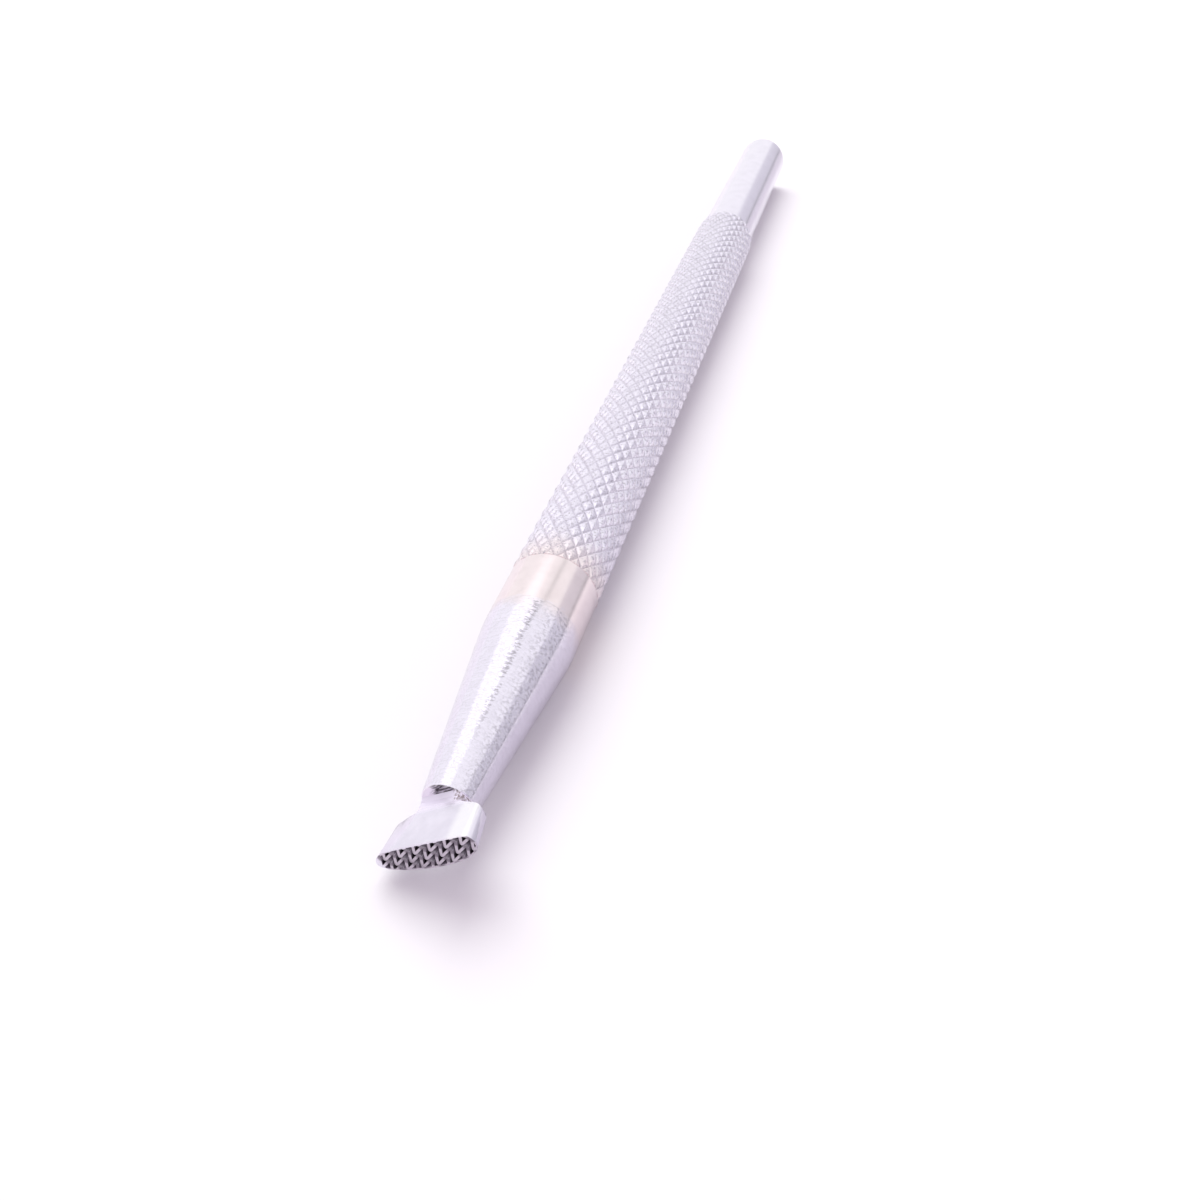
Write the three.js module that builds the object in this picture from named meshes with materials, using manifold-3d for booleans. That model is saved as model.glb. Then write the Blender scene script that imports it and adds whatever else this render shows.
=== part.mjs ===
// A leather stamping tool: a plated steel punch, struck with a mallet to press a scale pattern into
// damp leather.
//
// Three pieces make the tool, and each has its own section below.
//   knurled_handle   turned bar with a plain striking end, a diamond-knurled grip, a plain nose band, and
//                    a round tang that seats in the neck's large end
//   tapered_neck     turned taper, bored at both ends
//   stamping_head    foot with the patterned face, with a round tang that seats in the neck's small end
//
// Each piece is drawn about the tool's own axis, which is Y. The stamping face lies at y = 0 and looks
// along -Y, and the striking end looks along +Y. At the end the tool is laid down on its knurled grip.
// All sizes are in millimetres.

import * as THREE from 'three';
import { mergeVertices } from 'three/addons/utils/BufferGeometryUtils.js';
import Module from 'manifold-3d';

// Lengths along the axis
const headLength = 3.07;          // stamping face to the neck's small end
const neckLength = 13.63;         // small end to the handle's nose
const bandLength = 4.17;          // plain band at the handle's nose
const knurlRowPitch = 1.465;      // crest to crest along the grip
const knurlRows = 42;
const strikingEndLength = 27.6;

// Handle section
const knurlCrestRadius = 3.0;
const knurlDepth = 0.27;
const diamondsAround = 20;
const bandRadius = 2.92;
const strikingEndRadius = 2.67;
const strikingEndChamfer = 0.35;
const knurlRunOut = 0.35;         // slope from the knurl's root down to the plain striking end

// Neck section
const neckSmallRadius = 1.52;
const neckBlendLength = 2.2;      // last stretch of the taper, which curves into the band
const neckEdgeBreak = 0.06;       // chamfer round the small end

// Joint between neck and handle
const handleTangRadius = 1.25;
const handleTangLength = 7.0;
const tangChamfer = 0.3;
const seatClearance = 0.05;       // radial room round each tang, which the braze fills
const socketEndRoom = 0.4;        // room beyond the end of each tang

// Joint between head and neck
const headTangRadius = 0.75;
const headTangLength = 4.5;

// Foot of the stamping head, in plan: along is the long direction, across the short one
const toeAlong = -3.45;
const toeAcross = -0.15;
const heelAlong = 3.32;
const heelAcross = 0.0;
const upperFlankAcross = 0.69;
const lowerFlankAcross = -1.06;
const flatToeAlong = -1.4;        // the upper flank is flat from here
const flatHeelAlong = 2.75;       // to here
const bellyAlong = 0.3;           // where the rounded lower flank is widest
const ovalFullness = 0.55;        // 0.55 draws a quarter of an oval, and 1 would draw a square corner
const cornerFullness = 0.6;

// Draft of the foot: how far its sides lean in over one millimetre of height
const toeDraft = 0.19;
const heelDraft = 0.08;
const lowerFlankDraft = 0.1;

// Foot of the stamping head, in side view
const toeLandHeight = 0.95;       // straight part of the toe's end
const toeShoulderRun = 1.35;      // toe's end to the end of the rounded shoulder
const toeShoulderHeight = 1.95;
const toeBackHeight = 2.2;        // where the toe's back meets the stem
const heelLandHeight = 1.4;
const heelShoulderRun = 0.55;
const heelShoulderHeight = 2.07;
const heelBackHeight = 2.6;

// Stem between the foot and the neck
const rampRun = 0.2;              // last stretch of the stem, where its flats slope outwards
const rampRise = 0.2;
const heelBackAlong = 0.97;       // where the heel's back meets the stem

// Scale pattern on the face: V-shaped ridges in a slanting net
const scaleTurn = 42;             // degrees from the foot's long direction to a scale's own axis
const scaleOpening = 17;          // degrees from a scale's own axis to either arm
const scaleReach = 0.88;          // rounded tip to the ends of the arms
const scaleHollow = 0.27;         // rounded tip to the inner corner
const scaleTipWidth = 0.27;       // width of the rounded tip
const ridgeWidth = 0.15;          // across the flat top
const ridgeFlare = 0.045;         // how far each side of a ridge spreads towards its root
const patternDepth = 0.38;
const edgeWall = 0.09;            // thin wall that closes the recess all round
const netAlong = 1.04;            // from scale to scale in a row
const netShift = 0.40;            // how far the next row is moved along
const netDrop = 0.49;             // from row to row
const netStartAlong = -0.68;
const netStartAcross = 0.06;
const toeRimAlong = -3.3;         // a point on the inner edge of the plain rim at the toe
const toeRimAcross = -0.3;

// How the head is turned about the axis against the floor that the tool lies on
const headRoll = 33;              // degrees

// Fineness of the round shapes
const outlineSteps = 12;          // straight steps in each quarter of the foot's plan
const scaleSteps = 4;             // straight steps round the tip of a scale
const blendSteps = 3;

// Values that follow from the sizes above
const sidesRound = 2 * diamondsAround;
const sideAngle = (2 * Math.PI) / sidesRound;
const neckStart = headLength;
const handleStart = neckStart + neckLength;
const knurlStart = handleStart + bandLength;
const knurlLength = knurlRows * knurlRowPitch;
const knurlEnd = knurlStart + knurlLength;
const toolLength = knurlEnd + strikingEndLength;
const knurlRootRadius = knurlCrestRadius - knurlDepth;
const stemRadius = neckSmallRadius - neckEdgeBreak;
const flatEnd = headLength - rampRun;      // where the stem's flats start to slope outwards
const axisHeight = knurlCrestRadius * Math.cos(sideAngle / 2);

const wasm = await Module();
wasm.setup();

// A closed geometry as a solid that can be cut and joined.
function solid(geometry) {
  const bare = geometry.clone();
  bare.deleteAttribute('normal');
  bare.deleteAttribute('uv');
  const merged = mergeVertices(bare, 1e-5);
  const vertProperties = new Float32Array(merged.attributes.position.array);
  const triVerts = new Uint32Array(merged.index.array);
  return new wasm.Manifold(new wasm.Mesh({ numProp: 3, vertProperties, triVerts }));
}

// The solid's surface as a geometry that a mesh can show.
function surface(body) {
  const { vertProperties, triVerts, numProp } = body.getMesh();
  const geometry = new THREE.BufferGeometry();
  const positions = new Float32Array((vertProperties.length / numProp) * 3);
  for (let i = 0; i < positions.length / 3; i += 1) {
    positions.set(vertProperties.subarray(i * numProp, i * numProp + 3), i * 3);
  }
  geometry.setAttribute('position', new THREE.BufferAttribute(positions, 3));
  geometry.setIndex(Array.from(triVerts));
  geometry.computeVertexNormals();
  return geometry;
}

// A closed skin over rings that follow one another along the axis. A ring is its height y and a radius
// for each of its corners, and the skin starts and ends at points on the axis. Each four-cornered field
// is folded along its deeper diagonal, so that a knurl's grooves stay sharp.
function ringSkin(startHeight, rings, endHeight) {
  const points = [new THREE.Vector3(0, startHeight, 0)];
  for (const ring of rings) {
    for (let k = 0; k < sidesRound; k += 1) {
      const angle = (k + 0.5) * sideAngle;
      const radius = ring.radius(k);
      points.push(new THREE.Vector3(radius * Math.cos(angle), ring.y, radius * Math.sin(angle)));
    }
  }
  points.push(new THREE.Vector3(0, endHeight, 0));

  const corner = (row, k) => 1 + row * sidesRound + (k % sidesRound);
  const reach = (index) => Math.hypot(points[index].x, points[index].z);
  const faces = [];
  for (let k = 0; k < sidesRound; k += 1) {
    faces.push(0, corner(0, k), corner(0, k + 1));
  }
  for (let row = 0; row < rings.length - 1; row += 1) {
    for (let k = 0; k < sidesRound; k += 1) {
      const a = corner(row, k);
      const b = corner(row, k + 1);
      const c = corner(row + 1, k + 1);
      const d = corner(row + 1, k);
      if (reach(a) + reach(c) <= reach(b) + reach(d)) {
        faces.push(a, d, c, a, c, b);
      } else {
        faces.push(a, d, b, d, c, b);
      }
    }
  }
  for (let k = 0; k < sidesRound; k += 1) {
    faces.push(corner(rings.length - 1, k), points.length - 1, corner(rings.length - 1, k + 1));
  }
  const geometry = new THREE.BufferGeometry().setFromPoints(points);
  geometry.setIndex(faces);
  geometry.computeVertexNormals();
  return geometry;
}

// Knurled handle: a round tang, the plain nose band, the diamond knurl and the striking end.
// The knurl is two sets of crossing grooves, one wound to the left and one to the right. Between them
// stand four-sided pyramids, whose tips alternate with the groove crossings from row to row.
function knurledHandle() {
  const tangEnd = handleStart - handleTangLength;
  const plain = (y, radius) => ({ y, radius: () => radius });
  const rings = [
    plain(tangEnd, handleTangRadius - tangChamfer),
    plain(tangEnd + tangChamfer, handleTangRadius),
    plain(handleStart, handleTangRadius),
    plain(handleStart, bandRadius),
    plain(knurlStart, bandRadius),
  ];
  for (let half = 1; half < 2 * knurlRows; half += 1) {
    const y = knurlStart + (half * knurlRowPitch) / 2;
    rings.push({ y, radius: (k) => ((half + k) % 2 === 0 ? knurlCrestRadius : knurlRootRadius) });
  }
  rings.push(
    plain(knurlEnd, knurlRootRadius),
    plain(knurlEnd + knurlRunOut, strikingEndRadius),
    plain(toolLength - strikingEndChamfer, strikingEndRadius),
    plain(toolLength, strikingEndRadius - strikingEndChamfer),
  );
  return ringSkin(tangEnd, rings, toolLength);
}

// Tapered neck: a straight taper from the small end and a short curve into the band, with a blind bore in
// either end.
function taperedNeck() {
  const boreRadius = headTangRadius + seatClearance;
  const boreFloor = neckStart + headTangLength + socketEndRoom;
  const socketRadius = handleTangRadius + seatClearance;
  const socketFloor = handleStart - handleTangLength - socketEndRoom;
  const slope = (bandRadius - neckSmallRadius) / (neckLength - neckBlendLength / 2);
  const blendStart = handleStart - neckBlendLength;
  const blendStartRadius = neckSmallRadius + slope * (neckLength - neckBlendLength);
  const blend = new THREE.QuadraticBezierCurve(
    new THREE.Vector2(blendStartRadius, blendStart),
    new THREE.Vector2(bandRadius, handleStart - neckBlendLength / 2),
    new THREE.Vector2(bandRadius, handleStart),
  );
  const profile = [
    new THREE.Vector2(0, boreFloor),
    new THREE.Vector2(boreRadius, boreFloor),
    new THREE.Vector2(boreRadius, neckStart),
    new THREE.Vector2(neckSmallRadius - neckEdgeBreak, neckStart),
    new THREE.Vector2(neckSmallRadius + slope * neckEdgeBreak, neckStart + neckEdgeBreak),
    ...blend.getPoints(blendSteps),
    new THREE.Vector2(socketRadius, handleStart),
    new THREE.Vector2(socketRadius, socketFloor),
    new THREE.Vector2(0, socketFloor),
  ];
  return new THREE.LatheGeometry(profile, sidesRound, sideAngle / 2);
}

// Plan of the foot, looking at the face: a blunt leaf with a flat upper flank and a rounded lower one.
// The inset moves all of its outline inwards.
function footPlan(inset) {
  const toe = toeAlong + inset;
  const heel = heelAlong - inset;
  const upper = upperFlankAcross - inset;
  const lower = lowerFlankAcross + inset;
  const plan = new THREE.Shape();
  const part = (from, to, fullness) => from + fullness * (to - from);
  const fromEnd = (endAlong, endAcross, flankAlong, flankAcross, fullness) => plan.bezierCurveTo(
    endAlong, part(endAcross, flankAcross, fullness),
    part(flankAlong, endAlong, fullness), flankAcross,
    flankAlong, flankAcross,
  );
  const toEnd = (endAlong, endAcross, flankAlong, flankAcross, fullness) => plan.bezierCurveTo(
    part(flankAlong, endAlong, fullness), flankAcross,
    endAlong, part(endAcross, flankAcross, fullness),
    endAlong, endAcross,
  );
  plan.moveTo(toe, toeAcross);
  fromEnd(toe, toeAcross, flatToeAlong, upper, cornerFullness);
  plan.lineTo(flatHeelAlong, upper);
  toEnd(heel, heelAcross, flatHeelAlong, upper, cornerFullness);
  fromEnd(heel, heelAcross, bellyAlong, lower, ovalFullness);
  toEnd(toe, toeAcross, bellyAlong, lower, ovalFullness);
  return plan;
}

// Side view of the foot: leaning ends, rounded shoulders, and backs that rise towards the stem.
function footSide() {
  const toeEnd = toeAlong + toeDraft * toeLandHeight;
  const heelEnd = heelAlong - heelDraft * heelLandHeight;
  const side = new THREE.Shape();
  side.moveTo(toeAlong, 0);
  side.lineTo(heelAlong, 0);
  side.lineTo(heelEnd, heelLandHeight);
  side.quadraticCurveTo(heelEnd, heelShoulderHeight, heelAlong - heelShoulderRun, heelShoulderHeight);
  side.lineTo(heelBackAlong, heelBackHeight);
  side.lineTo(-stemRadius, toeBackHeight);
  side.lineTo(toeAlong + toeShoulderRun, toeShoulderHeight);
  side.quadraticCurveTo(toeEnd, toeShoulderHeight, toeEnd, toeLandHeight);
  side.closePath();
  return side;
}

// A blank over the foot's plan, up to the end of the stem's flats. Its toe, heel and lower flank lean
// in with their drafts, and its upper flank stands straight.
function draftedBlank() {
  const geometry = slab(footPlan(0), flatEnd, outlineSteps);
  geometry.rotateX(Math.PI / 2);
  geometry.translate(0, flatEnd / 2, 0);
  const place = geometry.attributes.position;
  for (let i = 0; i < place.count; i += 1) {
    const height = place.getY(i);
    const alongPart = (place.getX(i) - toeAlong) / (heelAlong - toeAlong);
    const acrossPart = (place.getZ(i) - lowerFlankAcross) / (upperFlankAcross - lowerFlankAcross);
    const leanAlong = toeDraft * (1 - alongPart) - heelDraft * alongPart;
    place.setX(i, place.getX(i) + height * leanAlong);
    place.setZ(i, place.getZ(i) + height * lowerFlankDraft * (1 - acrossPart));
  }
  return solid(geometry);
}

// The end of the stem, seen along the foot: its two flats slope outwards just before the neck.
function stemRamp() {
  const ramp = new THREE.Shape();
  ramp.moveTo(flatEnd, lowerFlankAcross);
  ramp.lineTo(headLength, lowerFlankAcross - rampRise);
  ramp.lineTo(headLength, upperFlankAcross + rampRise);
  ramp.lineTo(flatEnd, upperFlankAcross);
  ramp.closePath();
  return ramp;
}

// A shape drawn in the first two directions, as thick as given about the origin of the third.
function slab(shape, thickness, steps) {
  const options = { depth: thickness, bevelEnabled: false, curveSegments: steps };
  const geometry = new THREE.ExtrudeGeometry(shape, options);
  geometry.translate(0, 0, -thickness / 2);
  return geometry;
}

// A round bar along the axis, from the height low to the height high.
function bar(radius, low, high) {
  const geometry = new THREE.CylinderGeometry(radius, radius, high - low, sidesRound);
  geometry.translate(0, (low + high) / 2, 0);
  return solid(geometry);
}

// One scale: a V-shaped ridge with a rounded tip at the origin, and arms that open towards +x.
function scaleRidge() {
  const slope = Math.tan(THREE.MathUtils.degToRad(scaleOpening));
  const thickness = ridgeWidth / Math.cos(THREE.MathUtils.degToRad(scaleOpening));
  const inner = slope * (scaleReach - scaleHollow);
  const tipHalf = scaleTipWidth / 2;
  const tipEnd = scaleHollow + (tipHalf - thickness) / slope;
  const ridge = new THREE.Shape();
  ridge.moveTo(scaleReach, inner);
  ridge.lineTo(scaleReach, inner + thickness);
  ridge.lineTo(tipEnd, tipHalf);
  ridge.bezierCurveTo(-tipEnd / 3, tipHalf, -tipEnd / 3, -tipHalf, tipEnd, -tipHalf);
  ridge.lineTo(scaleReach, -inner - thickness);
  ridge.lineTo(scaleReach, -inner);
  ridge.lineTo(scaleHollow, 0);
  ridge.closePath();
  return ridge;
}

// The pattern: every scale of the net that can reach the foot, and the plain rim outside the first one.
// Each ridge has its flat top at the face and flares to its root. All of it stands a little through the
// face and into the foot, so that it can be taken out of the recess cleanly.
function scalePattern() {
  const through = patternDepth / 4;
  const flarePerHeight = ridgeFlare / patternDepth;
  const one = new THREE.ExtrudeGeometry(scaleRidge(), {
    depth: through,
    bevelEnabled: true,
    bevelThickness: patternDepth + through,
    bevelSize: flarePerHeight * (patternDepth + through),
    bevelOffset: -flarePerHeight * through,
    bevelSegments: 1,
    curveSegments: scaleSteps,
  });
  one.rotateZ(THREE.MathUtils.degToRad(scaleTurn));
  one.rotateX(Math.PI / 2);
  one.translate(0, patternDepth + through, 0);
  const rim = new THREE.BoxGeometry(stemRadius, 4 * patternDepth, 2 * stemRadius);
  rim.translate(-stemRadius / 2, 0, 0);
  rim.rotateY(Math.PI / 2 - THREE.MathUtils.degToRad(scaleTurn + scaleOpening));
  rim.translate(toeRimAlong, 0, toeRimAcross);
  const rowsEachWay = Math.ceil((upperFlankAcross - lowerFlankAcross) / netDrop);
  const columnsEachWay = Math.ceil((heelAlong - toeAlong) / netAlong);
  let pattern = solid(rim);
  for (let row = -rowsEachWay; row <= rowsEachWay; row += 1) {
    for (let column = -columnsEachWay; column <= columnsEachWay; column += 1) {
      const along = netStartAlong + column * netAlong + row * netShift;
      const across = netStartAcross - row * netDrop;
      const reachesAlong = along > toeAlong - scaleReach && along < heelAlong;
      const reachesAcross = across > lowerFlankAcross - scaleReach && across < upperFlankAcross;
      if (reachesAlong && reachesAcross) {
        pattern = pattern.add(solid(one.clone().translate(along, 0, across)));
      }
    }
  }
  return pattern;
}

// Stamping head: the foot is its drafted blank cut to its side view, with a recess that leaves the scale
// pattern and a thin wall round the edge standing. A round stem with two flats stands on the foot's back,
// and the tang stands on the stem.
function stampingHead() {
  const beyond = 2 * (heelAlong - toeAlong);
  const side = solid(slab(footSide(), beyond, outlineSteps));
  const foot = draftedBlank().intersect(side.add(bar(stemRadius, patternDepth, flatEnd)));

  const rampGeometry = slab(stemRamp(), beyond, 1);
  rampGeometry.rotateX(Math.PI / 2);
  rampGeometry.rotateZ(Math.PI / 2);
  const stemEnd = bar(stemRadius, flatEnd, headLength).intersect(solid(rampGeometry));

  const recessGeometry = slab(footPlan(edgeWall), 2 * patternDepth, outlineSteps);
  recessGeometry.rotateX(Math.PI / 2);
  const recess = solid(recessGeometry).subtract(scalePattern());
  const stock = foot.add(stemEnd).subtract(recess);

  const tang = bar(headTangRadius, headLength - rampRun / 2, headLength + headTangLength);
  const parts = stock.add(tang).decompose();
  return surface(parts.reduce((most, part) => (part.volume() > most.volume() ? part : most)));
}

// Bright plating over steel, a little duller on the turned neck and the milled head than on the handle.
const handleColor = 0xc4c1cc;
const neckColor = 0xc7c4cd;
const headColor = 0xc9c5d0;
const handleRoughness = 0.26;
const neckRoughness = 0.3;
const headRoughness = 0.32;

function piece(name, geometry, color, roughness) {
  const material = new THREE.MeshStandardMaterial({ color, roughness, metalness: 1 });
  const mesh = new THREE.Mesh(geometry, material);
  mesh.name = name;
  return mesh;
}

// The assembly: the head is rolled about the axis, and the tool is laid on its grip.
const head = piece('stamping_head', stampingHead(), headColor, headRoughness);
head.rotation.y = -THREE.MathUtils.degToRad(headRoll);

const tool = new THREE.Group();
tool.add(piece('knurled_handle', knurledHandle(), handleColor, handleRoughness));
tool.add(piece('tapered_neck', taperedNeck(), neckColor, neckRoughness));
tool.add(head);
tool.position.set(0, -toolLength / 2, axisHeight);

export default tool;
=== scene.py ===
# %% [markdown]
# # A leather stamping tool
#
# A hand stamp is a slim steel bar that stands on damp leather and is struck with a mallet. This one lies
# on its knurled grip, with its patterned foot towards us. Three pieces are brazed together and then
# plated: a knurled handle, a tapered neck and the stamping head.
#
# The solids come from the frame, in metres: Y runs along the tool from the stamping face to the striking
# end, and Z goes up from the floor. This lesson gives each piece its finer shape and its finish.

# %% The frame
import math

import bmesh
import bpy
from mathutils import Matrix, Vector
from mathutils.bvhtree import BVHTree


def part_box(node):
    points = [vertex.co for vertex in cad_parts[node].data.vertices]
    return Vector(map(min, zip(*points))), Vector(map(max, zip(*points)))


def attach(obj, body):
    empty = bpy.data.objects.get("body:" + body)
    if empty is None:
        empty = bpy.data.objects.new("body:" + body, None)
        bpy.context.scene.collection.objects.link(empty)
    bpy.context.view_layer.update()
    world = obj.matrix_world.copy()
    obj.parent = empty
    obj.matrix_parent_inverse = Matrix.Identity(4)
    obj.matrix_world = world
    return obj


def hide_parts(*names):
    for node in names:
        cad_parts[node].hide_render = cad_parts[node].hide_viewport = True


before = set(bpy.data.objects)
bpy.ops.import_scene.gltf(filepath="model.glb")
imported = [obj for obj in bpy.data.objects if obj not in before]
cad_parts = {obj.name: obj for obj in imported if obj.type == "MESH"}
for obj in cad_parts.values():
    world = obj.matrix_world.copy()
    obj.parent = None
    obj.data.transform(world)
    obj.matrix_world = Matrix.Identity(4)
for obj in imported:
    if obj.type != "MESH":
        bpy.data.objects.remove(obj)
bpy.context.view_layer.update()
print("solids:", sorted(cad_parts))

# %% [markdown]
# ## Where things are
#
# The places come from the boxes of the three solids, so that the finer pieces land exactly where the
# solids are. A solid's round parts have forty sides, so its box is a little narrower than the true circle.

# %% Places along the axis
MM = 0.001
diamonds_around = 20
half_side = math.pi / (2 * diamonds_around)
flat_to_round = 1 / math.cos(half_side)

handle_low, handle_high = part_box("knurled_handle")
neck_low, neck_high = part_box("tapered_neck")
head_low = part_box("stamping_head")[0]

axis_height = (handle_low.z + handle_high.z) / 2
face_y = head_low.y
neck_y = neck_low.y
nose_y = neck_high.y
butt_y = handle_high.y
crest_radius = handle_high.x * flat_to_round
band_radius = neck_high.x * flat_to_round
print(f"crests {2 * crest_radius / MM:.2f} mm across, tool {(butt_y - face_y) / MM:.1f} mm long")

# %% Sizes that the boxes don't give
band_length = 4.17 * MM
knurl_pitch = 1.465 * MM
knurl_rows = 42
knurl_depth = 0.27 * MM
striking_radius = 2.67 * MM
striking_chamfer = 0.35 * MM
tang_radius = 1.25 * MM
seat_clearance = 0.05 * MM
seat_room = 0.4 * MM
head_tang_radius = 0.75 * MM
head_tang_length = 4.5 * MM
neck_small_radius = 1.52 * MM
neck_blend_length = 2.2 * MM
pattern_depth = 0.38 * MM

knurl_y = nose_y + band_length
knurl_end_y = knurl_y + knurl_rows * knurl_pitch
knurl_root = crest_radius - knurl_depth
print(f"knurl from {knurl_y / MM:.2f} to {knurl_end_y / MM:.2f} mm")

# %% [markdown]
# ## Turned shapes
#
# A lathe makes every round part of this tool, and bmesh has its lathe too: spin carries an outline round
# the axis. The outline is drawn as stations, each a distance along the axis and a radius. It starts and
# ends on the axis, so the shape is closed, and the doubled points at the seam and poles are merged before
# the normals are worked out.

# %% The lathe
turned_sides = 160
corner_angle = math.radians(28)


def turned(bm, stations):
    """Spins the stations round the Y axis into one closed shell."""
    before = set(bm.verts)
    points = [bm.verts.new((radius, y, 0)) for y, radius in stations]
    outline = [bm.edges.new(pair) for pair in zip(points, points[1:])]
    bmesh.ops.spin(
        bm, geom=points + outline, axis=(0, 1, 0), angle=2 * math.pi, steps=turned_sides, use_merge=True,
    )
    shell = [v for v in bm.verts if v not in before]
    bmesh.ops.remove_doubles(bm, verts=shell, dist=1e-4 * MM)


def finish_mesh(bm, name, lift=axis_height):
    """Lifts the shape onto the tool's axis, points its faces outwards and makes it an object."""
    bmesh.ops.recalc_face_normals(bm, faces=bm.faces)
    bmesh.ops.translate(bm, verts=bm.verts, vec=(0, 0, lift))
    for edge in bm.edges:
        edge.smooth = edge.calc_face_angle(math.pi) < corner_angle
    for face in bm.faces:
        face.smooth = True
    mesh = bpy.data.meshes.new(name)
    bm.to_mesh(mesh)
    bm.free()
    piece = bpy.data.objects.new(name, mesh)
    bpy.context.scene.collection.objects.link(piece)
    print(name, len(mesh.polygons), "faces")
    return piece


def eased(y, radius, ease, towards):
    """The two stations of a small chamfer at a corner. towards is +1 where the bar goes on along +Y."""
    near, far = (y, radius - ease), (y + towards * ease, radius)
    return [near, far] if towards > 0 else [far, near]


# %% [markdown]
# ## The diamond knurl
#
# Two crossing sets of grooves are rolled into the bar and leave rows of small pyramids. Every second row
# is shifted by half a diamond, so the grooves run slantwise round the bar. Texture could fake this, but
# the diamonds catch the light one by one and break the outline, so they are modelled.
#
# A straight line of points is spun into a net of rectangles. Poking each rectangle puts a point in its
# middle, and dissolving the old edges leaves the net of diamonds. A row of insets then raises each
# diamond: a narrow groove floor, steep flanks, and a crown that gets flatter step by step, because rolling
# and handling have worn the tips round. Each step of the crown is a run inwards and a rise, in mm.

# %% Knurl rows and insets
worn_depth = 0.14 * MM
worn_root = crest_radius - worn_depth
groove_half = 0.012 * MM
crown_steps = [(0.04, 0.032), (0.06, 0.034), (0.07, 0.028), (0.08, 0.018), (0.08, 0.007)]


def knurled_bar(bm):
    """The knurled stretch, closed by a flat end at each side."""
    first_angle = 3 * half_side
    start = knurl_y - knurl_pitch
    across, up = worn_root * math.cos(first_angle), worn_root * math.sin(first_angle)
    column = [bm.verts.new((across, start + row * knurl_pitch, up)) for row in range(knurl_rows + 3)]
    line = [bm.edges.new(pair) for pair in zip(column, column[1:])]
    bmesh.ops.spin(
        bm, geom=column + line, axis=(0, 1, 0), angle=2 * math.pi, steps=diamonds_around, use_merge=True,
    )
    bmesh.ops.remove_doubles(bm, verts=bm.verts, dist=1e-4 * MM)
    bmesh.ops.recalc_face_normals(bm, faces=bm.faces)

    net = [edge for edge in bm.edges if len(edge.link_faces) == 2]
    middles = bmesh.ops.poke(bm, faces=bm.faces[:])["verts"]
    for v in middles:
        to_root = worn_root / math.hypot(v.co.x, v.co.z)
        v.co = Vector((v.co.x * to_root, v.co.y, v.co.z * to_root))
    bmesh.ops.dissolve_edges(bm, edges=net, use_verts=False)
    diamonds = [face for face in bm.faces if len(face.verts) == 4]
    bmesh.ops.inset_individual(bm, faces=diamonds, thickness=groove_half, depth=0, use_even_offset=True)
    for run, rise in crown_steps:
        bmesh.ops.inset_individual(
            bm, faces=diamonds, thickness=run * MM, depth=rise * MM, use_even_offset=True,
        )
    highest = max(math.hypot(v.co.x, v.co.z) for v in bm.verts)
    print("diamonds:", len(diamonds), "highest", round(highest / MM, 3))

    for y, outwards in ((knurl_y, -1), (knurl_end_y, 1)):
        cut = bmesh.ops.bisect_plane(
            bm, geom=bm.verts[:] + bm.edges[:] + bm.faces[:], dist=1e-5 * MM,
            plane_co=(0, y, 0), plane_no=(0, outwards, 0), clear_outer=True,
        )
        rim = [edge for edge in cut["geom_cut"] if isinstance(edge, bmesh.types.BMEdge)]
        bmesh.ops.holes_fill(bm, edges=rim, sides=0)


# %% [markdown]
# ## The handle
#
# One bar carries the tang, the nose band, the knurl and the plain striking end. The nose band and the
# striking end are turned, with the small eased corners that a file or a stone leaves, and the knurl
# stands between them. The far corner has the wider chamfer of an end that is struck.
#
# Smooth shading spreads a corner's normals over the long faces beside it. An extra station close to each
# end of a plain stretch stops that, and the stretch reflects like a true cylinder.

# %% The handle's piece
corner_ease = 0.04 * MM
knurl_run_out = 0.35 * MM
tang_chamfer = 0.3 * MM

handle_bm = bmesh.new()
knurled_bar(handle_bm)
turned(handle_bm, [
    (handle_low.y, 0),
    (handle_low.y, tang_radius - tang_chamfer),
    (handle_low.y + tang_chamfer, tang_radius),
    (nose_y, tang_radius),
    *eased(nose_y, band_radius, corner_ease / 4, 1),
    (nose_y + corner_ease, band_radius),
    (knurl_y - 2 * corner_ease, band_radius),
    *eased(knurl_y, band_radius, corner_ease, -1),
    (knurl_y, 0),
])
turned(handle_bm, [
    (knurl_end_y, 0),
    (knurl_end_y, knurl_root),
    (knurl_end_y + knurl_run_out, striking_radius),
    (knurl_end_y + 2 * knurl_run_out, striking_radius),
    (butt_y - striking_chamfer - 4 * corner_ease, striking_radius),
    (butt_y - striking_chamfer - corner_ease, striking_radius),
    (butt_y - striking_chamfer + corner_ease, striking_radius - corner_ease),
    *eased(butt_y, striking_radius - striking_chamfer + corner_ease, corner_ease, -1),
    (butt_y, 0),
])
handle = finish_mesh(handle_bm, "plated_handle")

# %% [markdown]
# ## The neck
#
# The neck is a plain taper that swells into the band's width with a short curve. It is bored at both
# ends for the tangs of the handle and the head, and those bores are kept, although the tangs fill them.
# Its small end is flat, and part of that end shows as a dark crescent behind the head.

# %% The neck's piece
edge_break = 0.06 * MM
blend_steps = 12


def neck_curve():
    """Stations of the curve that ends the taper: a parabola from the cone to the band's width."""
    lean = (band_radius - neck_small_radius) / (nose_y - neck_y - neck_blend_length / 2)
    start_radius = neck_small_radius + lean * (nose_y - neck_y - neck_blend_length)
    for step in range(blend_steps + 1):
        t = step / blend_steps
        radius = (1 - t) ** 2 * start_radius + (1 - (1 - t) ** 2) * band_radius
        yield nose_y - (1 - t) * neck_blend_length, radius


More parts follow.
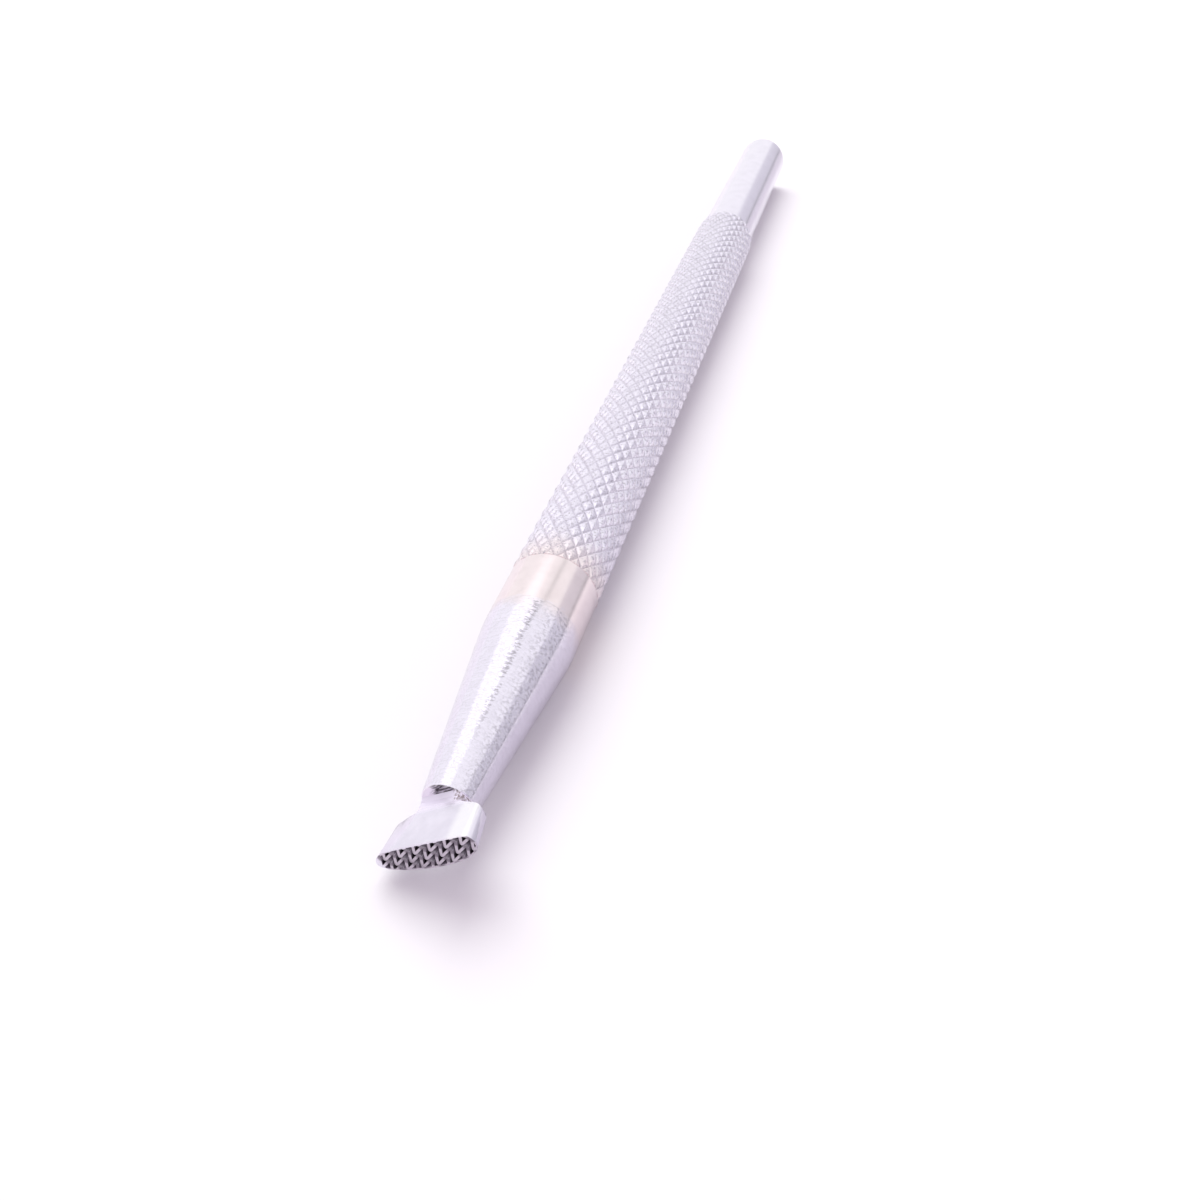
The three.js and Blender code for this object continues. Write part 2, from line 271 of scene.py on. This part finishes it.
neck_bm = bmesh.new()
bore_floor = neck_y + head_tang_length + seat_room
socket_floor = handle_low.y - seat_room
turned(neck_bm, [
    (bore_floor, 0),
    (bore_floor, head_tang_radius + seat_clearance),
    (neck_y, head_tang_radius + seat_clearance),
    *eased(neck_y, neck_small_radius, edge_break, 1),
    *neck_curve(),
    (nose_y, tang_radius + seat_clearance),
    (socket_floor, tang_radius + seat_clearance),
    (socket_floor, 0),
])
neck = finish_mesh(neck_bm, "plated_neck")

# %% [markdown]
# ## The head
#
# The head's solid already has the leaf-shaped foot, the shoulders, the stem and the scale pattern. Its
# mesh comes as loose triangles, so a copy is merged and its flat faces are joined. The foot is rolled by
# 33 degrees about the tool's axis, and places on it are measured along and across the leaf.
#
# On the real foot the corner behind the heel is filed round. Planes at three turns about the axis and at
# two slopes slice it off bit by bit. Then a small bevel goes along the sharp edges. Plating never leaves a
# knife edge, and that narrow round edge is what catches the light on every ridge.

# %% The head's piece
flat_angle = math.radians(1.0)
sharp_angle = math.radians(32)
head_ease = 0.012 * MM

head_roll = math.radians(33)
foot_along = Vector((math.cos(head_roll), 0, math.sin(head_roll)))
foot_across = Vector((-math.sin(head_roll), 0, math.cos(head_roll)))
heel_cut = 0.07 * MM
heel_turns = [math.radians(turn) for turn in (-10, -35, -60)]
heel_slopes = [math.radians(slope) for slope in (25, 50)]


def below_neck(faces):
    """The faces of the foot and the stem, without the tang that the neck hides."""
    return [face for face in faces if all(v.co.y < neck_y - 0.001 * MM for v in face.verts)]


def round_heel(bm):
    """Files the corner between the heel, its back and the rounded flank, one small plane at a time."""
    for turn in heel_turns:
        sideways = foot_along * math.cos(turn) + foot_across * math.sin(turn)
        for slope in heel_slopes:
            normal = sideways * math.cos(slope) + Vector((0, math.sin(slope), 0))
            faces = below_neck(bm.faces)
            verts = list({v for face in faces for v in face.verts})
            edges = list({edge for face in faces for edge in face.edges})
            reach = max(v.co.dot(normal) for v in verts) - heel_cut
            cut = bmesh.ops.bisect_plane(
                bm, geom=verts + edges + faces, dist=1e-5 * MM,
                plane_co=normal * reach, plane_no=normal, clear_outer=True,
            )
            rim = [edge for edge in cut["geom_cut"] if isinstance(edge, bmesh.types.BMEdge)]
            bmesh.ops.holes_fill(bm, edges=rim, sides=0)


head_bm = bmesh.new()
head_bm.from_mesh(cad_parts["stamping_head"].data)
bmesh.ops.remove_doubles(head_bm, verts=head_bm.verts, dist=1e-3 * MM)
bmesh.ops.dissolve_limit(head_bm, angle_limit=flat_angle, verts=head_bm.verts, edges=head_bm.edges)
round_heel(head_bm)
sharp = [edge for edge in head_bm.edges if edge.calc_face_angle(0) > sharp_angle]
bmesh.ops.bevel(
    head_bm, geom=sharp, offset=head_ease, offset_type="OFFSET", affect="EDGES", segments=2, profile=0.5,
    material=-1, clamp_overlap=True,
)
head = finish_mesh(head_bm, "plated_head", lift=0)

# %% [markdown]
# ## Writing finishes as sums
#
# A finish is a network of shader nodes, and most of it is arithmetic: a mask times a depth, one minus a
# wear level. The small class below wraps a node's output, so that such sums can be written as Python and
# each operator adds its Math node. Everything else goes through one method that takes the node's type,
# its settings and its inputs.

# %% Levels and finishes
class Level:
    """A value that changes over the surface."""

    def __init__(self, finish, socket):
        self.finish, self.socket = finish, socket

    def maths(self, operation, *values):
        return self.finish.node("ShaderNodeMath", {"operation": operation}, dict(enumerate(values)))

    def __add__(self, other):
        return self.maths("ADD", self, other)

    def __sub__(self, other):
        return self.maths("SUBTRACT", self, other)

    def __rsub__(self, other):
        return self.maths("SUBTRACT", other, self)

    def __mul__(self, other):
        return self.maths("MULTIPLY", self, other)

    def __truediv__(self, other):
        return self.maths("DIVIDE", self, other)

    def __abs__(self):
        return self.maths("ABSOLUTE", self)

    __radd__, __rmul__ = __add__, __mul__

    def step(self, low, high):
        """0 below low, 1 above high, and a smooth rise between them. It falls if low is above high."""
        rise = {"From Min": min(low, high), "From Max": max(low, high), "To Min": float(low > high)}
        rise |= {"Value": self, "To Max": float(low <= high)}
        return self.finish.node("ShaderNodeMapRange", {"interpolation_type": "SMOOTHSTEP"}, rise)


class Finish:
    """A material or world under construction."""

    def __init__(self, tree):
        self.tree = tree
        self.tree.nodes.clear()

    def node(self, kind, settings=None, inputs=None, output=0):
        node = self.tree.nodes.new(kind)
        for name, value in (settings or {}).items():
            setattr(node, name, value)
        for name, value in (inputs or {}).items():
            if isinstance(value, Level):
                self.tree.links.new(value.socket, node.inputs[name])
            else:
                node.inputs[name].default_value = value
        return Level(self, node.outputs[output]) if len(node.outputs) else None

    def parts(self, vector):
        return [self.node("ShaderNodeSeparateXYZ", inputs={0: vector}, output=axis) for axis in range(3)]

    def place(self):
        """The point on the surface, and its three parts in metres."""
        point = self.node("ShaderNodeTexCoord", output="Object")
        return point, *self.parts(point)

    def vector(self, x, y, z):
        return self.node("ShaderNodeCombineXYZ", inputs={0: x, 1: y, 2: z})

    def vector_maths(self, operation, *vectors):
        """One value that comes from vectors, such as a length."""
        settings, inputs = {"operation": operation}, dict(enumerate(vectors))
        return self.node("ShaderNodeVectorMath", settings, inputs, output="Value")

    def noise(self, vector, scale, detail=2.0, roughness=0.5):
        """Even noise from 0 to 1, about a half on average."""
        inputs = {"Vector": vector, "Scale": scale, "Detail": detail, "Roughness": roughness}
        return self.node("ShaderNodeTexNoise", {"noise_dimensions": "3D"}, inputs)

    def mix(self, share, first, second):
        """The first colour where share is 0, and the second where it is 1."""
        inputs = {"Factor": share, 6: first, 7: second}
        return self.node("ShaderNodeMix", {"data_type": "RGBA"}, inputs, output=2)

    def bump(self, height, depth, normal=None):
        inputs = {"Height": height, "Distance": depth, "Strength": 1.0}
        if normal:
            inputs["Normal"] = normal
        return self.node("ShaderNodeBump", inputs=inputs)


def new_finish(name):
    material = bpy.data.materials.new(name)
    material.use_nodes = True
    return material, Finish(material.node_tree)


def plate(finish, colour, roughness, normal, metallic=1.0):
    """Ends a finish: a metal of this colour and roughness, with these marks on it."""
    inputs = {"Base Color": colour, "Roughness": roughness, "Metallic": metallic}
    if normal:
        inputs["Normal"] = normal
    shader = finish.node("ShaderNodeBsdfPrincipled", inputs=inputs)
    finish.node("ShaderNodeOutputMaterial", inputs={"Surface": shader})


# %% [markdown]
# ## Turned and plated metal
#
# A lathe tool leaves fine rings, and plating follows them. The rings are noise that is stretched round
# the axis: its coordinates are the angle, which changes slowly, and the distance along the axis, which
# changes fast. The plating has a lilac cast and is a little cloudy.

# %% Plating colours
lilac = (0.87, 0.83, 0.94, 1)
clouded = (0.74, 0.70, 0.81, 1)
straw = (0.90, 0.80, 0.82, 1)
burnt = (0.60, 0.49, 0.50, 1)
shaded_groove = (0.40, 0.36, 0.44, 1)
grimy = (0.42, 0.38, 0.45, 1)
# Grey of the torn marks, and of the painted reflections on the neck.
tear_and_reflection_grey = (0.45, 0.42, 0.48, 1)


def round_the_axis(finish):
    """The point, its angle round the tool's axis, its distance from it, its place along it, and its two
    distances across it."""
    point, x, y, z = finish.place()
    up = z - axis_height
    angle = up.maths("ARCTAN2", up, x)
    radius = finish.vector_maths("LENGTH", finish.vector(x, 0, up))
    return point, angle, radius, y, x, up


def turning_marks(finish, angle, y, rings_per_mm, wander):
    """Fine rings round the axis that come and go along their way."""
    stretched = finish.vector(angle * wander, y * (rings_per_mm / MM), 0)
    return finish.noise(stretched, 1.0, detail=3.0, roughness=0.6)


# %% [markdown]
# ## The handle's finish
#
# Heat from brazing has left a straw tint on the nose band. It starts at the corner to the neck and fades
# out, with a wandering edge, over the first rows of the knurl. On the knurl, grime sits in small dents, and
# the groove floors are a little darker with painted shade. The plain parts carry fine turning rings.

# %% The handle's finish
tint_wander = 1.6 * MM
tint_fade = 3.5 * MM
dent_depth = 0.03 * MM
handle_ring_depth = 0.0015 * MM


def handle_finish():
    material, finish = new_finish("plated_knurled_steel")
    point, angle, radius, y, x, up = round_the_axis(finish)
    rings = turning_marks(finish, angle, y, rings_per_mm=5, wander=1.2)
    cloud = finish.noise(point, 0.9 / MM, detail=4)
    grain = finish.noise(point, 14 / MM, detail=2)
    blotch = finish.noise(point, 1.3 / MM, detail=3)
    dents = finish.noise(point, 6 / MM, detail=3, roughness=0.65)

    wandering_y = y + (blotch - 0.5) * tint_wander
    heated = wandering_y.step(nose_y - 0.5 * MM, nose_y + 0.2 * MM)
    cooled = wandering_y.step(knurl_y - 0.3 * MM, knurl_y + tint_fade)
    in_knurl = y.step(knurl_y - 0.01 * MM, knurl_y) * (1 - y.step(knurl_end_y, knurl_end_y + 0.01 * MM))
    groove = radius.step(worn_root + 0.05 * MM, worn_root - 0.005 * MM) * in_knurl
    grime = dents.step(0.47, 0.36) * in_knurl

    colour = finish.mix(cloud.step(0.35, 0.75) * 0.3, lilac, clouded)
    tint = finish.mix(blotch.step(0.4, 0.8) * 0.15, straw, burnt)
    colour = finish.mix(heated * (1 - cooled), colour, tint)
    # Painted shade: the groove floors of the knurl are mixed a little darker.
    colour = finish.mix(groove * 0.25, colour, shaded_groove)
    colour = finish.mix(grime * 0.55, colour, grimy)
    roughness = 0.13 + 0.08 * cloud + 0.04 * grain + 0.06 * in_knurl
    dented = finish.bump(dents * in_knurl, dent_depth)
    plate(finish, colour, roughness, finish.bump(rings * (1 - in_knurl), handle_ring_depth, dented))
    return material


# %% [markdown]
# ## The neck's finish
#
# The turning tool tore short marks round the taper, and they are a little grey. On one line along it,
# about 80 degrees round from the right, a row of fine dark hairs is painted, a painted reflection of the
# dim wall in those marks. To the right of that line, painted grey speckles stand for the same reflection
# in the strip. The end face towards the head is coloured dark, with paler streaks across its middle and
# light at its two sides.

# %% The neck's finish
# The line of painted dark reflection, in radians round from the right.
hair_reflection_low, hair_reflection_high = 1.29, 1.5
hair_reflection_edge = 0.06
tear_depth = 0.009 * MM
neck_ring_depth = 0.003 * MM
end_dark = (0.05, 0.04, 0.05, 1)
end_light = (0.9, 0.84, 0.92, 1)


def end_colour(finish, x, up):
    """The colour of the neck's end face: dark, with paler streaks and light at its two sides."""
    slanted = finish.vector((x + up) * (1.2 / MM), (x - up) * (6.0 / MM), 0)
    streaks = finish.noise(slanted, 1.0, detail=2).step(0.42, 0.6)
    sides = x.step(-0.5 * MM, -1.1 * MM) + x.step(0.5 * MM, 0.9 * MM)
    light = streaks * 0.5 + sides
    return finish.mix(light.maths("MINIMUM", light, 1), end_dark, end_light)


def neck_finish():
    material, finish = new_finish("plated_turned_steel")
    point, angle, radius, y, x, up = round_the_axis(finish)
    rings = turning_marks(finish, angle, y, rings_per_mm=9, wander=1.6)
    tears = turning_marks(finish, angle, y, rings_per_mm=6, wander=6.0).step(0.48, 0.55)
    cloud = finish.noise(point, 0.8 / MM, detail=4)

    ragged = angle + (finish.noise(point, 1.2 / MM, detail=2) - 0.5) * 0.2
    # Painted reflection: dark hairs along one line of the taper.
    hair_reflection = ragged.step(hair_reflection_low, hair_reflection_low + hair_reflection_edge) * ragged.step(hair_reflection_high, hair_reflection_high - hair_reflection_edge)
    hair_reflection = hair_reflection * y.step(neck_y + 2 * MM, neck_y + 6 * MM)
    # Painted reflection: grey speckles in the strip to the right of that line.
    fleck_reflection = finish.noise(point, 5 / MM, detail=2).step(0.5, 0.62)
    fleck_reflection = fleck_reflection * ragged.step(0.5, 0.65) * ragged.step(1.35, 0.85)
    warm = (y + (cloud - 0.5) * (2.5 * MM)).step(nose_y - 1.6 * MM, nose_y + 0.4 * MM)
    end_face = y.step(neck_y + 0.05 * MM, neck_y + 0.01 * MM)

    colour = finish.mix(cloud.step(0.35, 0.75) * 0.3, lilac, clouded)
    colour = finish.mix(warm * 0.8, colour, straw)
    colour = finish.mix(tears * (0.05 + hair_reflection * 0.7) + fleck_reflection * 0.4, colour, tear_and_reflection_grey)
    colour = finish.mix(end_face, colour, end_colour(finish, x, up))
    roughness = 0.11 + 0.07 * cloud + 0.3 * end_face
    plate(finish, colour, roughness, finish.bump(tears, tear_depth, finish.bump(rings, neck_ring_depth)))
    return material


# %% [markdown]
# ## The head's finish
#
# The foot is filed and polished before plating, and the pattern is punched into it. The tops of the ridges
# are worn rougher, and their grey is a painted reflection of the shade in front of the foot. The low end of
# each arm of a V has painted shade. A painted highlight brightens the flat towards the heel. Next to the
# neck the plating is duller, and a brown mottled patch on the round side of the stem is a painted dark
# reflection.
#
# The recess has a finish of its own, so that the outer flanks stay bright. Its flanks are grey and darker
# with depth, and the inner corner of each V is near black: painted shade together with the dark patina
# that the hollows hold. All scales are copies of one, moved along a skewed net. So one function can tell
# how far a point is from the nearest copy of any spot.

# %% The net of scales, in mm, and the head's colours
scale_turn = math.radians(42)
net_along, net_shift, net_drop = 1.04, 0.40, 0.49
net_start_along, net_start_across = -0.68, 0.06
hollow_place = 0.42
hollow_length, hollow_width = 0.3, 0.16
arm_end = 0.45, 0.75

head_mark_depth = 0.004 * MM
recess_mark_depth = 0.01 * MM
painted_highlight_white = (0.98, 0.96, 1, 1)
shaded_face_grey = (0.60, 0.54, 0.62, 1)
painted_reflection_brown = (0.30, 0.25, 0.26, 1)
shaded_flank_grey = (0.5, 0.45, 0.52, 1)
deep_shade_grey = (0.16, 0.13, 0.17, 1)
shade_and_patina_black = (0.02, 0.01, 0.02, 1)


def head_place(finish):
    """The point, and its places along the foot, across it and down from the stamping face, in mm."""
    point, x, y, z = finish.place()
    right, up = x / MM, (z - axis_height) / MM
    along = right * math.cos(head_roll) + up * math.sin(head_roll)
    across = up * math.cos(head_roll) - right * math.sin(head_roll)
    return point, along, across, (y - face_y) / MM


def off_spot(along, across, spot_along, spot_across):
    """How far a point is from the nearest copy of a spot. The spot is given from a scale's tip."""
    spot_row = -spot_across / net_drop
    spot_column = (spot_along - net_shift * spot_row) / net_along
    row = (net_start_across - across) / net_drop
    column = (along - net_start_along - row * net_shift) / net_along
    row_off = row.maths("WRAP", row - spot_row, 0.5, -0.5)
    column_off = row.maths("WRAP", column - spot_column, 0.5, -0.5)
    return column_off * net_along + row_off * net_shift, row_off * -net_drop


# %% The head's two finishes
def head_finish():
    material, finish = new_finish("plated_filed_steel")
    point, along, across, depth = head_place(finish)
    cloud = finish.noise(point, 0.9 / MM, detail=4)
    scratches = finish.noise(finish.vector(along * 1.5, depth * 9, across * 1.5), 1.0, detail=3)
    grain = finish.noise(point, 7 / MM, detail=3)

    rim = across.step(0.55, 0.6) + along.step(-2.9, -3.2)
    # The face's tops: rougher with wear, and a painted grey for the shade that they reflect.
    face_wear_and_shade = depth.step(0.05, 0.01) * (1 - rim.maths("MINIMUM", rim, 1))
    end_along, end_across = off_spot(along, across, *arm_end)
    # Painted shade at the low end of each arm of a V, as if the arm sloped down there.
    arm_end_shade = along.maths("SQRT", end_along * end_along + end_across * end_across).step(0.34, 0.14)
    # Painted highlight: the flat grows bright towards the heel.
    heel_highlight = along.step(1.65, 2.25) * across.step(0.45, 0.55) * depth.step(2.4, 2.0)
    at_neck = depth.step(2.4, 2.75)
    # Painted dark reflection: a brown mottled patch on the round side of the stem next to the neck.
    stem_patch_reflection = at_neck * along.step(0.95, 1.15) * grain.step(0.62, 0.4)

    colour = finish.mix(0.15 + cloud.step(0.3, 0.7) * 0.5, lilac, clouded)
    colour = finish.mix(heel_highlight * 0.8, colour, painted_highlight_white)
    colour = finish.mix(face_wear_and_shade, colour, shaded_face_grey)
    colour = finish.mix(arm_end_shade * face_wear_and_shade * 0.8, colour, deep_shade_grey)
    colour = finish.mix(stem_patch_reflection, colour, painted_reflection_brown)
    roughness = 0.18 + 0.1 * cloud + 0.2 * face_wear_and_shade + 0.3 * at_neck
    marks = finish.bump(scratches + cloud * 0.5 + grain * at_neck * 3, head_mark_depth)
    plate(finish, colour, roughness, marks, metallic=1 - depth.step(2.0, 2.5) * 0.6)
    return material


def recess_finish():
    material, finish = new_finish("shaded_patina_recess")
    point, along, across, depth = head_place(finish)
    hollow = hollow_place * math.cos(scale_turn), hollow_place * math.sin(scale_turn)
    off_along, off_across = off_spot(along, across, *hollow)
    lengthwise = off_along * math.cos(scale_turn) + off_across * math.sin(scale_turn)
    crosswise = off_across * math.cos(scale_turn) - off_along * math.sin(scale_turn)
    lengthwise, crosswise = lengthwise / hollow_length, crosswise / hollow_width
    off_hollow = along.maths("SQRT", lengthwise * lengthwise + crosswise * crosswise)

    grain = finish.noise(point, 9 / MM, detail=3)
    # Painted shade and dark patina in the inner corner of each V.
    hollow_shade_and_patina = (off_hollow + (grain - 0.5) * 0.8).step(1.4, 0.7)
    # Painted shade and patina: the flanks grow darker with depth.
    depth_shade_and_patina = (depth + (grain - 0.5) * 0.15).step(0.0, 0.34)
    colour = finish.mix(depth_shade_and_patina, shaded_flank_grey, deep_shade_grey)
    colour = finish.mix(hollow_shade_and_patina * (0.4 + depth_shade_and_patina * 0.6), colour, shade_and_patina_black)
    roughness = 0.35 + 0.3 * grain
    plate(finish, colour, roughness, finish.bump(grain, recess_mark_depth), metallic=1 - depth_shade_and_patina * 0.6)
    return material


# %% [markdown]
# ## The faces of the recess
#
# The floor of the recess lies at one depth and faces the same way as the stamping face. Its flanks are the
# steep faces above that floor from which a short ray meets another wall of the head. From an outer flank
# such a ray meets nothing.

# %% The faces of the recess
wall_reach = 1.6 * MM


def recess_faces(mesh):
    tree = BVHTree.FromPolygons([v.co for v in mesh.vertices], [p.vertices[:] for p in mesh.polygons])
    for polygon in mesh.polygons:
        depth = polygon.center.y - face_y
        on_floor = abs(depth - pattern_depth) < 0.02 * MM and polygon.normal.y < -0.9
        on_flank = 0.03 * MM < depth < pattern_depth and abs(polygon.normal.y) < 0.6
        if on_floor:
            yield polygon
        elif on_flank:
            start = polygon.center + polygon.normal * 0.005 * MM
            if tree.ray_cast(start, polygon.normal, wall_reach)[0] is not None:
                yield polygon


# %% [markdown]
# ## Dressing the pieces
#
# Each finer piece rides on the root body, because nothing on this tool moves, and the one solid that it
# replaces is hidden. On the head, the faces of the recess take the second finish.

# %% Dressing the pieces
def dress(piece, node, slot, *finishes):
    """Gives a piece its finishes and its place among the solids."""
    for finish in finishes:
        piece.data.materials.append(finish)
    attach(piece, "root")
    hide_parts(node)


dress(handle, "knurled_handle", "handle_plating", handle_finish())
dress(neck, "tapered_neck", "neck_plating", neck_finish())
dress(head, "stamping_head", "head_plating", head_finish(), recess_finish())
shaded_recess_faces = list(recess_faces(head.data))
for polygon in shaded_recess_faces:
    polygon.material_index = 1
print("recess faces:", len(shaded_recess_faces), "of", len(head.data.polygons))

# %% [markdown]
# ## The floor
#
# The tool lies on plain white paper, and the paper shows its soft shadow. Bright metal reflects the paper
# too. Reflections see it with painted shade on the tool's right, which is the shaded side. Far away the
# paper turns into the white of the background. In a low view that leaves no more than a faint band at the
# horizon.

# %% The floor
floor_half = 1.5
fade_from, fade_to = 0.3, 0.7
paper_white = 0.8
paper_colour = (paper_white, paper_white, paper_white, 1)
lit_reflection = (0.77, 0.78, 0.76, 1)
shaded_reflection = (0.53, 0.52, 0.54, 1)

floor_bm = bmesh.new()
bmesh.ops.create_grid(floor_bm, x_segments=1, y_segments=1, size=floor_half)
floor_mesh = bpy.data.meshes.new("floor")
floor_bm.to_mesh(floor_mesh)
floor_bm.free()
floor = bpy.data.objects.new("floor", floor_mesh)
bpy.context.scene.collection.objects.link(floor)

floor_material, finish = new_finish("white_floor")
point, x, y, z = finish.place()
# Painted shade: reflections see the paper dimmer on the tool's right.
near_shade = x.step(0, 5 * MM) * (1 - y.step(-44 * MM, 0))
far_shade = x.step(4 * MM, 10 * MM) * y.step(36 * MM, 50 * MM)
dimmed = finish.mix(near_shade + far_shade * 0.8, lit_reflection, shaded_reflection)
reflected = finish.node("ShaderNodeLightPath", output="Is Glossy Ray")
seen_colour = finish.mix(reflected, paper_colour, dimmed)
paper = finish.node("ShaderNodeBsdfDiffuse", inputs={"Color": seen_colour})
white = finish.node("ShaderNodeEmission", inputs={"Color": (1, 1, 1, 1), "Strength": 1.0})
far_off = x.maths("SQRT", x * x + y * y).step(fade_from, fade_to)
surface = finish.node("ShaderNodeMixShader", inputs={0: far_off, 1: paper, 2: white})
finish.node("ShaderNodeOutputMaterial", inputs={"Surface": surface})
floor_mesh.materials.append(floor_material)
print("floor:", 2 * floor_half, "m wide")

# %% [markdown]
# ## The lamp
#
# The shadow lies on the right, and its edge is wide, so the light is a large disk high on the left.
# Reflections don't see it, because the world holds what they show. Its power is worked out from the share
# of the floor's brightness that it gives.

# %% The lamp
lamp_heading, lamp_elevation = -38, 58
lamp_distance = 2.0
lamp_radius = 0.95
lamp_share = 0.46


def way(heading, elevation):
    """The direction with this heading from +Y towards +X and this elevation, both in degrees."""
    turn, rise = math.radians(heading), math.radians(elevation)
    return Vector((math.sin(turn) * math.cos(rise), math.cos(turn) * math.cos(rise), math.sin(rise)))


lamp_direction = way(lamp_heading, lamp_elevation)
lamp_light = bpy.data.lights.new("tent_lamp", "AREA")
lamp_light.shape = "DISK"
lamp_light.size = 2 * lamp_radius
lamp_light.color = (0.97, 1.0, 0.97)
reach_squared = lamp_distance ** 2 + lamp_radius ** 2
lamp_light.energy = lamp_share / paper_white * math.pi ** 2 * reach_squared / lamp_direction.z
lamp = bpy.data.objects.new("tent_lamp", lamp_light)
lamp.visible_glossy = False
lamp.location = lamp_direction * lamp_distance
lamp.rotation_euler = lamp_direction.to_track_quat("Z", "Y").to_euler()
bpy.context.scene.collection.objects.link(lamp)
print("lamp power:", round(lamp_light.energy, 2))

# %% [markdown]
# ## The tent
#
# Bright metal shows its surroundings more than itself. The tool was photographed in a white tent: a soft
# bright window high on the left, white all round, and a dimmer wall on the right whose edges draw the
# sharp lines along the taper. A dark gap runs along the foot of that wall, and a thin dark seam high in
# the cloth shows as a line along the band.
#
# The world holds all this, for reflections only. The camera sees it all but white, and every other ray
# sees a fill that is a little stronger on the right. Each edge is a pair of values, between which the
# light changes. Headings and elevations are in degrees.

# %% What the tent is like
tent_level = 1.03
wall_level = 0.64
wall_rise = 0.1
gap_level = 0.25
window_level = 1.35
seam_level = 0.55
side_fill = 0.3
tent_share = 0.65
wall_tint = (0.99, 0.97, 1.04, 1)
fill_tint = (1, 0.89, 1.02, 1)

wall_left_edge, wall_right_edge = (6, 10), (110, 90)
wall_height, wall_slope = 15, 0.29
wall_top_edge = -1.5, 1.5
wall_lit_edge = 60, 38
gap_edge = 3.5, 2.8
window_way = way(-35, 53)
window_edge = math.cos(math.radians(23)), math.cos(math.radians(15))
seam_way = way(13, 42).cross(way(0, 60)).normalized()
seam_edge = 0.04, 0.015
seam_foot_edge = 30, 35

# %% The tent
world = bpy.data.worlds.new("tent")
world.use_nodes = True
bpy.context.scene.world = world
finish = Finish(world.node_tree)
direction = finish.node("ShaderNodeTexCoord", output="Generated")
east, north, up = finish.parts(direction)
heading = east.maths("ARCTAN2", east, north) * (180 / math.pi)
elevation = up.maths("ARCSINE", up) * (180 / math.pi)

wall_side = heading.step(*wall_left_edge) * heading.step(*wall_right_edge)
wall_top = wall_height + heading * wall_slope
wall = wall_side * (wall_top - elevation).step(*wall_top_edge)
gap = wall_side * elevation.step(*gap_edge)
window = finish.vector_maths("DOT_PRODUCT", direction, window_way).step(*window_edge)
off_seam = abs(finish.vector_maths("DOT_PRODUCT", direction, seam_way))
seam = off_seam.step(*seam_edge) * elevation.step(*seam_foot_edge) * (1 - window)

lit_wall = wall_level + heading.step(*wall_lit_edge) * wall_rise
tent = tent_level - wall * (tent_level - lit_wall) - gap * (wall_level - gap_level)
tent = tent + window * (window_level - tent_level) - seam * (tent_level - seam_level)
camera_ray = finish.node("ShaderNodeLightPath", output="Is Camera Ray")
glossy_ray = finish.node("ShaderNodeLightPath", output="Is Glossy Ray")
others = 1 - camera_ray - glossy_ray
fill = (1 + east * side_fill) * (tent_share / paper_white)
strength = camera_ray + glossy_ray * tent + others * fill
tint = finish.mix(others, finish.mix(wall, (1, 1, 1, 1), wall_tint), fill_tint)
background = finish.node("ShaderNodeBackground", inputs={"Color": tint, "Strength": strength})
finish.node("ShaderNodeOutputWorld", inputs={"Surface": background})
print("tent:", len(world.node_tree.nodes), "nodes")

# %% [markdown]
# ## The camera
#
# The photograph was taken from a few centimetres away, which is why the foot looks so large and the
# striking end so small. The place and angles below come from fitting the tool's outlines and its knurl
# rows, and the camera isn't rolled.

# %% The camera
camera_place = Vector((0.016327, -0.082080, 0.044901))
camera_elevation = math.radians(40.18)
camera_turn = math.radians(15.423)

camera_data = bpy.data.cameras.new("camera")
camera_data.sensor_width = 36
camera_data.lens = 30.9
camera_data.clip_start = 0.001
camera_data.clip_end = 10
camera = bpy.data.objects.new("camera", camera_data)
camera.location = camera_place
camera.rotation_euler = (math.pi / 2 - camera_elevation, 0, camera_turn)
bpy.context.scene.collection.objects.link(camera)
bpy.context.scene.camera = camera
bpy.context.scene.view_settings.view_transform = "Standard"
